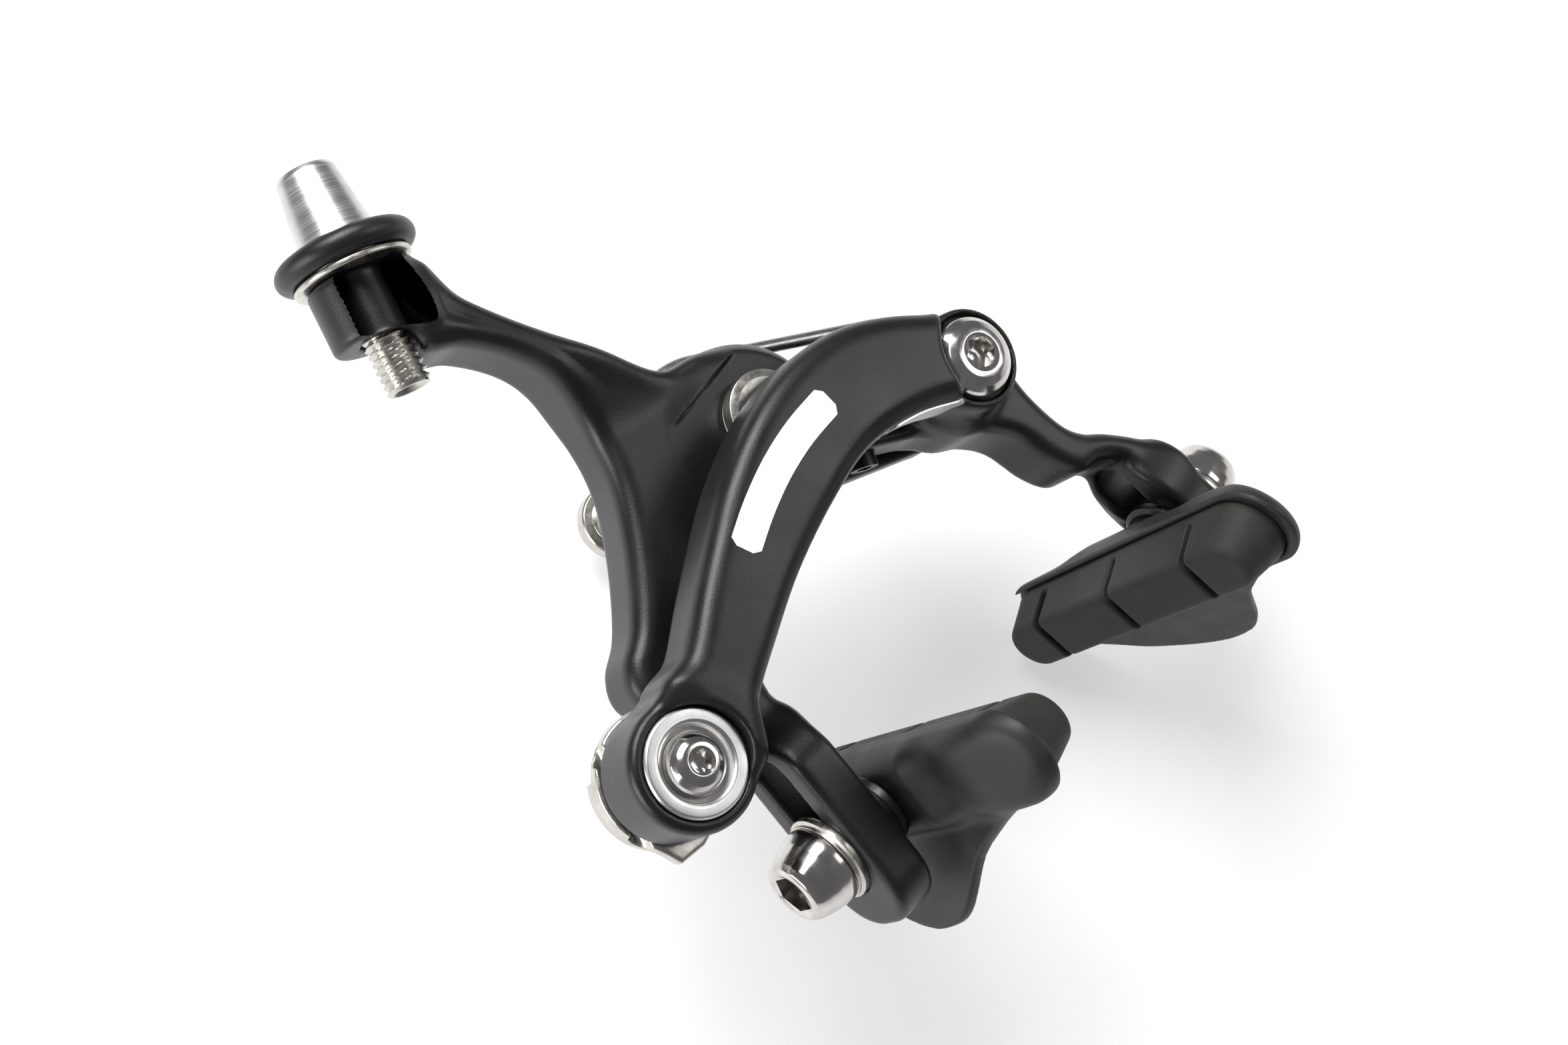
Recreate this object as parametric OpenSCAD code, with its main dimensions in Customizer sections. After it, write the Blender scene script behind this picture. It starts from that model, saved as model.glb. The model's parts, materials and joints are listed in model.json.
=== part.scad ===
// Dual pivot rim brake caliper, arms open on the return spring.
// Frame: X to the right seen from the front, Y to the rear, Z up.
// Origin: axis of the centre bolt at the face that seats on the fork or frame.

/* [Pivots] */
// Distance of the side pivot to the right of the centre bolt
side_x = 24; // [23:0.5:25]
// Drop of the side pivot below the centre bolt
side_drop = 16.5; // [16:0.5:17]
// Radius of the boss around the centre bolt
boss_r = 11.5; // [11:0.25:12]
// Radius of the hub around the side pivot
side_hub_r = 7.1; // [6.9:0.1:7.3]

/* [Depths from the seat face, towards the front] */
// Thickness of the serrated seat washer
seat_t = 2; // [1.5:0.25:2.5]
// Thickness of the thin nut behind the bridge
locknut_t = 3; // [2.5:0.25:3.5]
// Thickness of the bridge that carries both pivots
bridge_t = 5; // [4.5:0.25:5.5]
// Thickness of each thrust washer
thrust_t = 0.8; // [0.6:0.1:1]
// Thickness of the rear arm at its boss
boss_t = 9.9; // [9.5:0.1:10.2]
// Thickness of the centre bolt's round head
head_t = 2.5; // [2:0.1:2.7]
// Thickness of the front arm
front_arm_t = 9.5; // [9:0.25:10]

/* [Mounting bolt] */
// Thread diameter of the centre bolt
bolt_d = 6; // [6:1:6]
// Length of the centre bolt behind the seat face
bolt_reach = 26; // [22:1:27]
// Outer diameter of the recessed nut's sleeve
sleeve_d = 8; // [8:0.5:8.5]
// Distance from the seat face to the underside of the recessed nut's head
grip = 30; // [28:1:30]

/* [Cable anchor and adjuster] */
// Place of the cable anchor to the left of the centre bolt
anchor_x = 47.3; // [47:0.1:47.6]
// Drop of the cable anchor below the centre bolt
anchor_drop = 16.8; // [16.5:0.1:17]
// Radius of the anchor hub
anchor_hub_r = 8.4; // [8:0.1:8.6]
// Lean of the barrel adjuster towards the centre, in degrees
adjuster_lean = 24.8; // [24:0.2:26]
// Length of the adjuster boss
adjuster_boss_h = 8.4; // [8:0.2:9]
// Radius of the adjuster boss
adjuster_boss_r = 6.5; // [6.2:0.1:6.8]
// Height of the adjuster's conical cap
cap_h = 9.8; // [9:0.2:10.5]

/* [Brake shoes] */
// Tilt of the left shoe and its slotted arm, in degrees
left_tilt = 11; // [10:0.5:11]
// Pitch of the left shoe about its bolt, rear end up, in degrees
left_pitch = 2; // [0:1:4]
// Pitch of the right shoe about its bolt, rear end up, in degrees
right_pitch = -1; // [-3:1:3]
// Thickness of the slotted arms
arm_t = 6.5; // [6:0.25:6.5]
// Width of the slots
slot_w = 6.6; // [6.4:0.1:7]
// Length of the holder along the rim
holder_l = 62; // [60:1:62]
// Height of the holder
holder_h = 13; // [12.6:0.2:13.4]
// Length of the rubber insert
rubber_l = 58; // [56:1:58]
// Height of the rubber insert at its root
rubber_h = 11; // [10.6:0.2:11]
// Distance from the middle of the arm to the face of the rubber
shoe_reach = 19.5; // [19:0.25:20]

/* [Hidden] */

$fn = 64;

// A cut runs this far past the surface it opens
eps = 0.5;
// Radial clearance of running fits
fit = 0.04;
// Steps of a smooth curve between two of its points
curve_steps = 5;

// Depth stations, negative towards the front
seat_front = -seat_t;
bridge_rear = seat_front - locknut_t;
bridge_front = bridge_rear - bridge_t;
boss_rear = bridge_front - thrust_t;
boss_front = boss_rear - boss_t;
head_rear = boss_front - thrust_t;
head_front = head_rear - head_t;
front_arm_rear = head_front - 1.5;
front_arm_front = front_arm_rear - front_arm_t;
anchor_rear = -23;
anchor_front = -33;
side_hub_front = -30;
neck_front = -24.6;
neck_rear = -13.5;
shoe_y = -17.5;
slot_arm_w = 15;

// Radii of bolts, heads and washers
bolt_r = bolt_d / 2;
shank_r = bolt_r - 0.05;
thread_r = bolt_r - 0.1;
sleeve_front = 10;
head_r = 5.7;
bush_r = 5;
side_screw_r = 3;
side_head_r = 5.7;
side_bush_r = 4.5;
washer_r = 6.2;
anchor_r = 3;
anchor_washer_r = 6.7;
clamp_r = 8.7;
clamp_t = 2.2;
nut_af = 10;
grub_r = 2;
groove_r = 0.9;
cable_y = anchor_rear + groove_r;
adjuster_y = -21;
adjuster_r = 3;
adjuster_bore_r = 1.1;
adjuster_tail = 6.8;
screw_in_cap = 6;
washer_t = 0.9;
ring_section_r = 1.6;
ring_mean_r = 7.5;
cap_base_r = 5.05;
cap_top_r = 3.75;
collar_r = 5.8;
collar_h = 3.4;

// Places in the front view, as [x, z]
centre = [0, 0];
side = [side_x, -side_drop];
anchor = [-anchor_x, -anchor_drop];
adjuster = [-27, 42];
left_shoe = [-35.4, -42.4];
right_shoe = [36.6, -57.8];
pivot_gap = norm(side - centre);
pivot_turn = atan2(side_drop, side_x);
// The centring screw touches the rear arm's lug this far from the centre bolt
lug_reach = 15.9;
lug_half = 3.2;

// Extents of the slots along their arms, from the shoe bolt
left_slot_up = 13.5;
left_slot_down = 2.9;
left_slot_end = 7.5;
left_arm_up = 19;
right_slot_up = 10;
right_slot_down = 4.5;
right_arm_up = 12;

// Stations of a brake shoe along its bolt, from the middle of the arm towards the rim
flange_t = 1.5;
ball_t = 1.5;
hump_start = arm_t / 2 + 2 * ball_t;
plate_start = hump_start + 3.6;
plate_end = plate_start + 2.4;
rubber_start = plate_start + 1.2;
shoe_head_l = 6.3;
hex_key = 5;
wing_t = 1.8;
wing_flare = 22;
// The shoe's middle lies this far in front of its bolt
shoe_lead = 1;

// Smooth closed outline through points, by cubic segments
function cubic(a, b, c, d, t) =
    b + (c - a) * t / 2 + (2 * a - 5 * b + 4 * c - d) * t * t / 2
    + (3 * b - a - 3 * c + d) * t * t * t / 2;
function smooth(p) = let (n = len(p)) [
    for (i = [0 : n - 1])
        for (s = [0 : curve_steps - 1])
            cubic(p[(i + n - 1) % n], p[i], p[(i + 1) % n], p[(i + 2) % n], s / curve_steps)
];

// Solid between two depths whose front view is the child outline
module slab(front, rear) {
    translate([0, rear, 0])
        rotate([90, 0, 0])
            linear_extrude(height = rear - front)
                children();
}

// Round bar along Y at a place in the front view
module bar(place, r, front, rear) {
    translate([place[0], rear, place[1]])
        rotate([90, 0, 0])
            cylinder(r = r, h = rear - front);
}

// Hexagonal bar along Y, measured across its flats
module hex_bar(place, flats, front, rear) {
    translate([place[0], rear, place[1]])
        rotate([90, 0, 0])
            cylinder(d = flats / cos(30), h = rear - front, $fn = 6);
}

// Ring along Y
module ring(place, outer, inner, front, rear) {
    difference() {
        bar(place, outer, front, rear);
        bar(place, inner, front - eps, rear + eps);
    }
}

// Straight tapered link along Y between two round ends
module link(a, ra, b, rb, front, rear) {
    run = norm(b - a);
    lean = asin((ra - rb) / run);
    // The sides run just inside the tangents
    sa = ra - 0.05;
    sb = rb - 0.05;
    bar(a, ra, front, rear);
    bar(b, rb, front, rear);
    slab(front, rear)
        translate(a)
            rotate(atan2(b[1] - a[1], b[0] - a[0]))
                polygon([
                    [sa * sin(lean), sa * cos(lean)],
                    [run + sb * sin(lean), sb * cos(lean)],
                    [run + sb * sin(lean), -sb * cos(lean)],
                    [sa * sin(lean), -sa * cos(lean)]
                ]);
}

// Places children in a shoe's own frame: x along the bolt to the rim, z up the slot
module left_frame() {
    translate([left_shoe[0], shoe_y, left_shoe[1]])
        rotate([0, left_tilt, 0])
            children();
}
module right_frame() {
    translate([right_shoe[0], shoe_y, right_shoe[1]])
        mirror([1, 0, 0])
            children();
}

// Places children in the adjuster's frame: z up its axis from the bottom of its boss
module adjuster_frame() {
    translate([adjuster[0], adjuster_y, adjuster[1]])
        rotate([0, adjuster_lean, 0])
            children();
}

// Round bar along a shoe's bolt
module shoe_bar(r, from, to) {
    translate([from, 0, 0])
        rotate([0, 90, 0])
            cylinder(r = r, h = to - from);
}

// Slot through an arm, in a shoe's frame
module slot_cut(up, down) {
    half = slot_w / 2;
    for (z = [-down, up])
        translate([0, 0, z])
            shoe_bar(half, -arm_t, arm_t);
    translate([-arm_t, -half, -down])
        cube([2 * arm_t, slot_w, up + down]);
}

// Slotted end of an arm with a rounded tip, in a shoe's frame
module slot_arm(up, down) {
    lip = 1;
    tip_h = 3.4;
    low = -down - lip;
    translate([-arm_t / 2, -slot_arm_w / 2, low])
        cube([arm_t, slot_arm_w, up - low]);
    intersection() {
        translate([0, 0, low])
            shoe_bar(slot_arm_w / 2, -arm_t / 2, arm_t / 2);
        translate([-arm_t, -slot_arm_w, low - tip_h])
            cube([2 * arm_t, 2 * slot_arm_w, tip_h + lip]);
    }
}

// ---- Fixed parts ----

module centre_bolt() {
    color("silver")
        union() {
            bar(centre, head_r, head_front, head_rear);
            bar(centre, bolt_r, head_rear - eps, 0);
            bar(centre, shank_r, -eps, sleeve_front);
            bar(centre, thread_r, sleeve_front - eps, bolt_reach);
        }
}

module recessed_nut() {
    nut_head_t = 3;
    nut_head_r = 5.6;
    nut_rear = grip + nut_head_t;
    color("gainsboro")
        difference() {
            union() {
                bar(centre, sleeve_d / 2, sleeve_front, nut_rear);
                bar(centre, nut_head_r, grip, nut_rear);
            }
            bar(centre, thread_r + fit, sleeve_front - eps, bolt_reach + eps);
            hex_bar(centre, hex_key, bolt_reach, nut_rear + eps);
        }
}

module serrated_washer() {
    outer = 9;
    teeth = 20;
    tooth_w = 0.9;
    tooth_depth = 0.5;
    color("dimgray")
        difference() {
            ring(centre, outer, bolt_r, seat_front, 0);
            for (i = [0 : teeth - 1])
                rotate([0, i * 360 / teeth, 0])
                    translate([outer - 3, -tooth_depth, -tooth_w / 2])
                        cube([4, tooth_depth + eps, tooth_w]);
        }
}

module centre_locknut() {
    color("silver")
        difference() {
            hex_bar(centre, nut_af, bridge_rear, seat_front);
            bar(centre, bolt_r, bridge_rear - eps, seat_front + eps);
        }
}

module pivot_bridge() {
    color([0.1, 0.1, 0.1])
        difference() {
            link(centre, 11.1, side, 7.6, bridge_front, bridge_rear);
            bar(centre, bolt_r, bridge_front - eps, bridge_rear + eps);
            bar(side, side_screw_r, bridge_front - eps, bridge_rear + eps);
            tension_place()
                cylinder(r = grub_r + fit, h = 11);
        }
}

// Frame of the spring tension screw: z out of the top edge of the bridge
module tension_place() {
    translate([side_x * 0.62, (bridge_front + bridge_rear) / 2, -side_drop * 0.62])
        rotate([0, 90 - atan2(side_x, side_drop), 0])
            children();
}

module tension_screw() {
    tip = 1;
    screw_l = 8.7;
    color("dimgray")
        tension_place()
            translate([0, 0, tip])
                difference() {
                    cylinder(r = grub_r, h = screw_l);
                    translate([0, 0, screw_l - 2])
                        cylinder(d = 2 / cos(30), h = 3, $fn = 6);
                }
}

module thrust_washers() {
    color("ivory") {
        ring(centre, 7.5, bolt_r + 0.1, boss_rear, bridge_front);
        ring(centre, 5.4, bolt_r + 0.1, head_rear, boss_front);
        ring(side, 6.8, side_screw_r + 0.1, boss_rear, bridge_front);
    }
}

module side_pivot_screw() {
    head_rim = 1.2;
    dome_t = 1.9;
    head_seat = side_hub_front + 1.4;
    color("gainsboro")
        difference() {
            union() {
                bar(side, side_screw_r, head_seat - eps, bridge_rear);
                bar(side, side_head_r, head_seat - head_rim, head_seat);
                translate([side[0], head_seat - head_rim, side[1]])
                    rotate([90, 0, 0])
                        cylinder(r1 = side_head_r, r2 = 3.4, h = dome_t);
            }
            hex_bar(side, 4, head_seat - head_rim - dome_t - eps, head_seat - 0.3);
        }
}

// Wire spring behind the arms: an arc over the centre bolt with a leg to each arm
spring_r = 12.4;
wire_r = 1;
knuckle_r = 1.2;
knuckle_half = 1.1;
spring_y = (bridge_front + bridge_rear) / 2;
spring_left = [-27.5, -15.5];
spring_right = [32, -29];
module wire(a, b) {
    run = norm(b - a);
    translate([a[0], spring_y, a[1]])
        rotate([0, 90 - atan2(b[1] - a[1], b[0] - a[0]), 0])
            cylinder(r = wire_r, h = run, $fn = 24);
    for (p = [a, b])
        bar(p, knuckle_r, spring_y - knuckle_half, spring_y + knuckle_half);
}
module return_spring() {
    from = 55.5;
    sweep = 134.5;
    left_start = spring_r * [cos(from + sweep), sin(from + sweep)];
    right_start = spring_r * [cos(from), sin(from)];
    knee = [33.5, -8];
    color("darkgray") {
        translate([0, spring_y, 0])
            rotate([90, 0, 0])
                rotate([0, 0, from])
                    rotate_extrude(angle = sweep)
                        translate([spring_r, 0])
                            circle(r = wire_r, $fn = 24);
        wire(left_start, spring_left);
        wire(right_start, knee);
        wire(knee, spring_right);
        bar(spring_left, wire_r, boss_rear + 0.3, spring_y);
        bar(spring_right, wire_r, boss_rear + 0.3, spring_y);
    }
}

// ---- Rear arm: pivots on the centre bolt, carries the adjuster and the left shoe ----

rear_arm_outline = [
    [-18, 45], [-16.8, 38.5], [-13.4, 30], [-9.2, 22], [-4.6, 14.2], [1.5, 10.5],
    [8, 2], [6, -6], [-1, -9.8], [-9, -10], [-16, -12], [-23, -16], [-27.5, -21.5],
    [-29.4, -28.5], [-35.8, -26.5], [-36.3, -20], [-37.2, -14.5],
    [-40.4, -11.4], [-40.4, -8.4], [-38, -5.6], [-33.8, -3.6], [-28.2, 1], [-23.2, 6.2],
    [-20, 10.6], [-17.9, 15.5], [-17, 20], [-17, 25], [-18.6, 30], [-21.6, 34.6], [-25.5, 38.5]
];

module rear_arm_body() {
    neck_split = 17;
    neck_span = 60;
    lug_gap = 0.3;
    lug_h = 4.2;
    slab(boss_front, boss_rear)
        polygon(smooth(rear_arm_outline));
    bar(centre, boss_r, boss_front, boss_rear);
    slab(neck_front, neck_rear)
        intersection() {
            polygon(smooth(rear_arm_outline));
            translate([-neck_span, neck_split])
                square(neck_span);
        }
    adjuster_frame()
        cylinder(r = adjuster_boss_r, h = adjuster_boss_h);
    left_frame()
        slot_arm(left_arm_up, left_slot_end);
    // Lug that the centring screw bears on
    rotate([0, pivot_turn, 0])
        translate([boss_r - 2, boss_front, lug_gap])
            cube([lug_reach + lug_half - boss_r + 2, boss_t, lug_h]);
}

module rear_arm() {
    color([0.09, 0.09, 0.09])
        difference() {
            rear_arm_body();
            bar(centre, bush_r, boss_front - eps, boss_rear + eps);
            adjuster_frame()
                translate([0, 0, -adjuster_tail - eps])
                    cylinder(r = adjuster_r + fit, h = adjuster_tail + adjuster_boss_h + 2 * eps);
            left_frame()
                slot_cut(left_slot_up, left_slot_down);
        }
}

module centre_bush() {
    color("peru")
        ring(centre, bush_r, bolt_r + fit, boss_front, boss_rear);
}

module spring_seat() {
    seat_place = spring_left + [-0.8, 3.2];
    color("ivory")
        bar(seat_place, 1.8, boss_rear, boss_rear + 4.5);
}

module adjuster_washer() {
    color("silver")
        adjuster_frame()
            translate([0, 0, adjuster_boss_h])
                difference() {
                    cylinder(r = 7.6, h = washer_t);
                    translate([0, 0, -eps])
                        cylinder(r = adjuster_r + 0.1, h = washer_t + 2 * eps);
                }
}

// ---- Barrel adjuster ----

module adjuster_screw() {
    screw_l = adjuster_tail + adjuster_boss_h + washer_t + screw_in_cap;
    color("silver")
        adjuster_frame()
            difference() {
                translate([0, 0, -adjuster_tail])
                    cylinder(r = adjuster_r, h = screw_l);
                translate([0, 0, -adjuster_tail - eps])
                    cylinder(r = adjuster_bore_r, h = screw_l + 2 * eps);
                translate([0, 0, -adjuster_tail - 0.01])
                    cylinder(r1 = 2.2, r2 = adjuster_bore_r, h = 1.2);
            }
}

module adjuster_cap() {
    base = adjuster_boss_h + washer_t;
    cone_start = base + collar_h;
    housing_r = 2.6;
    housing_seat = 4;
    color("lightgray")
        adjuster_frame()
            difference() {
                union() {
                    translate([0, 0, base])
                        cylinder(r = collar_r, h = collar_h);
                    translate([0, 0, cone_start])
                        cylinder(r1 = cap_base_r, r2 = cap_top_r, h = cap_h);
                }
                translate([0, 0, base - eps])
                    cylinder(r = adjuster_r + fit, h = screw_in_cap + 0.1 + eps);
                translate([0, 0, base + screw_in_cap])
                    cylinder(r = adjuster_bore_r, h = housing_seat);
                translate([0, 0, cone_start + housing_seat])
                    cylinder(r = housing_r, h = cap_h);
            }
}

module adjuster_o_ring() {
    color([0.05, 0.05, 0.05])
        adjuster_frame()
            translate([0, 0, adjuster_boss_h + washer_t + ring_section_r + 0.1])
                rotate_extrude()
                    translate([ring_mean_r, 0])
                        circle(r = ring_section_r, $fn = 32);
}

// ---- Front arm: pivots on the side screw, carries the cable anchor and the right shoe ----

front_band_outline = [
    [-43, -9.2], [-37.6, -7.8], [-31, -4.7], [-24.6, -1.9], [-17.3, 1], [-8.6, 3.1], [0, 3.5],
    [8, 1.9], [14.4, -1.3], [20.4, -6.2], [25, -11.6], [22, -21.5], [16.2, -18.2], [9.4, -14.2],
    [0.6, -11.6], [-9, -11.9], [-19.3, -13.5], [-28.2, -16], [-36.4, -18.8], [-42, -22.5]
];
right_arm_outline = [
    [24, -10], [31, -13.5], [32, -20], [30.6, -27], [30.6, -33.4], [32, -37], [35, -40.2],
    [38.6, -45.5], [39.8, -52], [33.4, -52], [33.4, -45], [31, -41.8], [27.2, -40.2],
    [25.2, -36], [24.2, -30], [21.6, -26], [17.8, -22.5], [16.2, -16]
];

module front_arm_body() {
    right_arm_front = -24;
    right_arm_rear = -13;
    finger_low = 7;
    slab(front_arm_front, front_arm_rear)
        polygon(smooth(front_band_outline));
    bar(anchor, anchor_hub_r, anchor_front, anchor_rear);
    bar(side, side_hub_r, side_hub_front, boss_rear);
    slab(right_arm_front, right_arm_rear)
        polygon(smooth(right_arm_outline));
    right_frame()
        slot_arm(right_arm_up, right_slot_down);
    // Finger that holds the centring screw
    rotate([0, pivot_turn, 0])
        translate([lug_reach - lug_half, boss_front + 1, -finger_low])
            cube([pivot_gap - lug_reach, boss_t - 2, finger_low - 1]);
}

module front_arm() {
    recess = 1.4;
    color([0.07, 0.07, 0.07])
        difference() {
            front_arm_body();
            bar(side, side_bush_r, side_hub_front - eps, boss_rear + eps);
            bar(side, side_head_r + 0.5, side_hub_front - 8, side_hub_front + recess);
            bar(side, side_hub_r + 0.5, side_hub_front - 8, side_hub_front);
            bar(anchor, anchor_r + fit, anchor_front - eps, anchor_rear + eps);
            bar(anchor, anchor_washer_r, anchor_front - 4, anchor_front + 1.6);
            screw_place()
                cylinder(r = grub_r + fit, h = 12);
            right_frame()
                slot_cut(right_slot_up, right_slot_down);
        }
}

// Frame of the centring screw: z up its axis to the rear arm's lug
module screw_place() {
    screw_low = 9;
    rotate([0, pivot_turn, 0])
        translate([lug_reach, (boss_front + boss_rear) / 2, -screw_low])
            children();
}

module centring_screw() {
    screw_l = 8.8;
    color("dimgray")
        screw_place()
            difference() {
                cylinder(r = grub_r, h = screw_l);
                translate([0, 0, -eps])
                    cylinder(d = 2 / cos(30), h = 2.5, $fn = 6);
            }
}

module side_bush() {
    color("peru")
        ring(side, side_bush_r, side_screw_r + fit, side_hub_front + 1.4, boss_rear);
}

// Blank plate on the underside of the front arm, following its outline
module blank_label() {
    label_w = 7;
    label_t = 0.3;
    first = 11;
    p = front_band_outline;
    edge = [for (i = [0 : curve_steps])
        cubic(p[first], p[first + 1], p[first + 2], p[first + 3], i / curve_steps)];
    under = [for (i = [curve_steps : -1 : 0]) edge[i] - [0, label_t]];
    color("lightgray")
        slab(front_arm_rear - 1 - label_w, front_arm_rear - 1)
            polygon(concat(edge, under));
}

module cup_washer() {
    washer_front = anchor_front - 0.3;
    washer_rear = anchor_front + 1.6;
    color("gainsboro")
        difference() {
            bar(anchor, anchor_washer_r, washer_front, washer_rear);
            bar(anchor, anchor_r + 0.2, washer_front - eps, washer_rear + eps);
            translate([anchor[0], washer_front - 0.01, anchor[1]])
                rotate([-90, 0, 0])
                    cylinder(r1 = 5, r2 = 3.9, h = 1.21);
        }
}

module anchor_bolt() {
    seat = anchor_front + 0.9;
    head_rim = 0.8;
    dome_t = 1.6;
    color("silver")
        difference() {
            union() {
                bar(anchor, 3.8, seat - head_rim, seat);
                translate([anchor[0], seat - head_rim, anchor[1]])
                    rotate([90, 0, 0])
                        cylinder(r1 = 3.8, r2 = 2.2, h = dome_t);
                bar(anchor, anchor_r, seat - eps, anchor_rear + 9.5);
            }
            hex_bar(anchor, 2.5, seat - head_rim - dome_t - eps, seat);
        }
}

// Frame of the cable's line, from the adjuster's axis to the clamp: z up the cable
module cable_frame() {
    drop = (adjuster[1] - anchor[1]) / cos(adjuster_lean);
    translate([0, cable_y - adjuster_y, 0])
        adjuster_frame()
            translate([0, 0, -drop])
                children();
}

// Lobe of the clamp plate below the anchor, that keeps it from turning
clamp_lobe = [[-55.2, -19.5], [-54.2, -25], [-50.5, -26], [-46, -25.4], [-44.5, -20]];
module cable_clamp_plate() {
    rim_t = 1.5;
    rim_inner = 6.4;
    rim_turn = 37;
    color("silver")
        difference() {
            union() {
                bar(anchor, clamp_r, anchor_rear, anchor_rear + clamp_t);
                slab(anchor_rear, anchor_rear + clamp_t)
                    polygon(clamp_lobe);
                // Thicker rim on the side away from the rear arm
                difference() {
                    bar(anchor, clamp_r, anchor_rear + clamp_t - 0.01, anchor_rear + clamp_t + rim_t);
                    bar(anchor, rim_inner, anchor_rear, anchor_rear + clamp_t + 2 * rim_t);
                    translate([anchor[0], anchor_rear, anchor[1]])
                        rotate([0, -rim_turn, 0])
                            translate([-1, 0, -2 * clamp_r])
                                cube([2 * clamp_r, 3 * clamp_t, 4 * clamp_r]);
                }
            }
            bar(anchor, anchor_r + fit, anchor_rear - eps, anchor_rear + clamp_t + eps);
            // Groove that the cable lies in
            cable_frame()
                translate([0, 0, -2 * clamp_r])
                    cylinder(r = groove_r, h = 4 * clamp_r);
            cable_frame()
                translate([-groove_r, -groove_r - eps, -2 * clamp_r])
                    cube([2 * groove_r, groove_r + eps, 4 * clamp_r]);
        }
}

module anchor_nut() {
    nut_front = anchor_rear + clamp_t;
    nut_t = 5;
    color("silver")
        difference() {
            hex_bar(anchor, nut_af, nut_front, nut_front + nut_t);
            bar(anchor, anchor_r + fit, nut_front - eps, nut_front + nut_t + eps);
        }
}

// ---- Brake shoes ----

module pad_bolt() {
    head_start = -arm_t / 2 - flange_t;
    color("silver")
        difference() {
            union() {
                shoe_bar(bolt_r, head_start - eps, plate_start);
                translate([head_start, 0, 0])
                    rotate([0, -90, 0])
                        cylinder(r1 = 5.7, r2 = 4.1, h = shoe_head_l);
            }
            translate([head_start - shoe_head_l - eps, 0, 0])
                rotate([0, 90, 0])
                    cylinder(d = hex_key / cos(30), h = 4 + eps, $fn = 6);
        }
}

module flange_washer() {
    color("gainsboro")
        difference() {
            shoe_bar(washer_r, -arm_t / 2 - flange_t, -arm_t / 2);
            shoe_bar(bolt_r, -arm_t, 0);
        }
}

module ball_washers() {
    for (i = [0, 1])
        color(i == 0 ? "dimgray" : "silver")
            difference() {
                shoe_bar(6 - i, arm_t / 2 + i * ball_t, arm_t / 2 + (i + 1) * ball_t);
                shoe_bar(bolt_r, 0, arm_t * 2);
            }
}

// Round-ended bar outline, long along the rim
module stadium(length, height) {
    r = height / 2;
    for (y = [-length / 2 + r, length / 2 - r])
        translate([0, y])
            circle(r = r);
    square([height, length - height], center = true);
}

// Slab across the bolt whose outline is drawn in height and length
module across(from, to) {
    translate([from, 0, 0])
        rotate([0, 90, 0])
            linear_extrude(height = to - from)
                children();
}

module pad_holder() {
    hump_r = 6.2;
    wing_outline = [
        [0, -20], [0, 24], [-8, 20.5], [-12.5, 13.5], [-15, 7], [-15.4, 2], [-14, -3], [-7, -10]
    ];
    wing_top = -holder_h / 2 + 1.4;
    color([0.12, 0.12, 0.12])
        difference() {
            union() {
                across(plate_start, plate_end)
                    translate([0, -shoe_lead])
                        stadium(holder_l, holder_h);
                translate([hump_start, 0, 0])
                    rotate([0, 90, 0])
                        cylinder(r1 = hump_r - 0.8, r2 = hump_r, h = plate_start - hump_start);
                // Guide wing that flares away from the rim
                translate([plate_start + wing_t, 0, wing_top])
                    rotate([0, wing_flare, 0])
                        rotate([0, -90, 0])
                            linear_extrude(height = wing_t)
                                polygon(wing_outline);
            }
            shoe_bar(bolt_r + fit, hump_start - eps, plate_start);
            across(rubber_start, plate_end + eps)
                translate([0, -shoe_lead])
                    stadium(rubber_l, rubber_h);
            // The channel is open at the rear, where the rubber slides out
            translate([rubber_start, 0, -rubber_h / 2])
                cube([plate_end - rubber_start + eps, holder_l, rubber_h]);
        }
}

module pad_rubber() {
    groove_w = 1.3;
    groove_depth = 2.2;
    groove_step = 18;
    side_gap = 0.05;
    taper_steps = 3;
    step = 1.1;
    height = rubber_h - 2 * side_gap;
    length = rubber_l - 2 * side_gap;
    rise = (shoe_reach - plate_end) / taper_steps;
    color([0.16, 0.16, 0.16])
        translate([0, -shoe_lead, 0])
            difference() {
                union() {
                    across(rubber_start, plate_end + rise)
                        stadium(length, height);
                    for (i = [1 : taper_steps - 1])
                        across(plate_end + i * rise - 0.01, plate_end + (i + 1) * rise)
                            stadium(length - i * step, height - i * step);
                }
                for (i = [-1 : 1])
                    translate([shoe_reach - groove_depth, i * groove_step - groove_w / 2, -rubber_h])
                        cube([groove_depth + eps, groove_w, 2 * rubber_h]);
            }
}

module left_pad_bolt() { left_frame() pad_bolt(); }
module left_flange_washer() { left_frame() flange_washer(); }
module left_ball_washers() { left_frame() ball_washers(); }
module left_pad_holder() { left_frame() rotate([left_pitch, 0, 0]) pad_holder(); }
module left_pad_rubber() { left_frame() rotate([left_pitch, 0, 0]) pad_rubber(); }
module right_pad_bolt() { right_frame() pad_bolt(); }
module right_flange_washer() { right_frame() flange_washer(); }
module right_ball_washers() { right_frame() ball_washers(); }
module right_pad_holder() { right_frame() rotate([right_pitch, 0, 0]) pad_holder(); }
module right_pad_rubber() { right_frame() rotate([right_pitch, 0, 0]) pad_rubber(); }

centre_bolt();
recessed_nut();
serrated_washer();
centre_locknut();
pivot_bridge();
thrust_washers();
side_pivot_screw();
return_spring();
tension_screw();
rear_arm();
centre_bush();
spring_seat();
adjuster_washer();
adjuster_screw();
adjuster_cap();
adjuster_o_ring();
front_arm();
side_bush();
blank_label();
cup_washer();
cable_clamp_plate();
anchor_bolt();
anchor_nut();
centring_screw();
left_pad_bolt();
left_flange_washer();
left_ball_washers();
left_pad_holder();
left_pad_rubber();
right_pad_bolt();
right_flange_washer();
right_ball_washers();
right_pad_holder();
right_pad_rubber();
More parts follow.
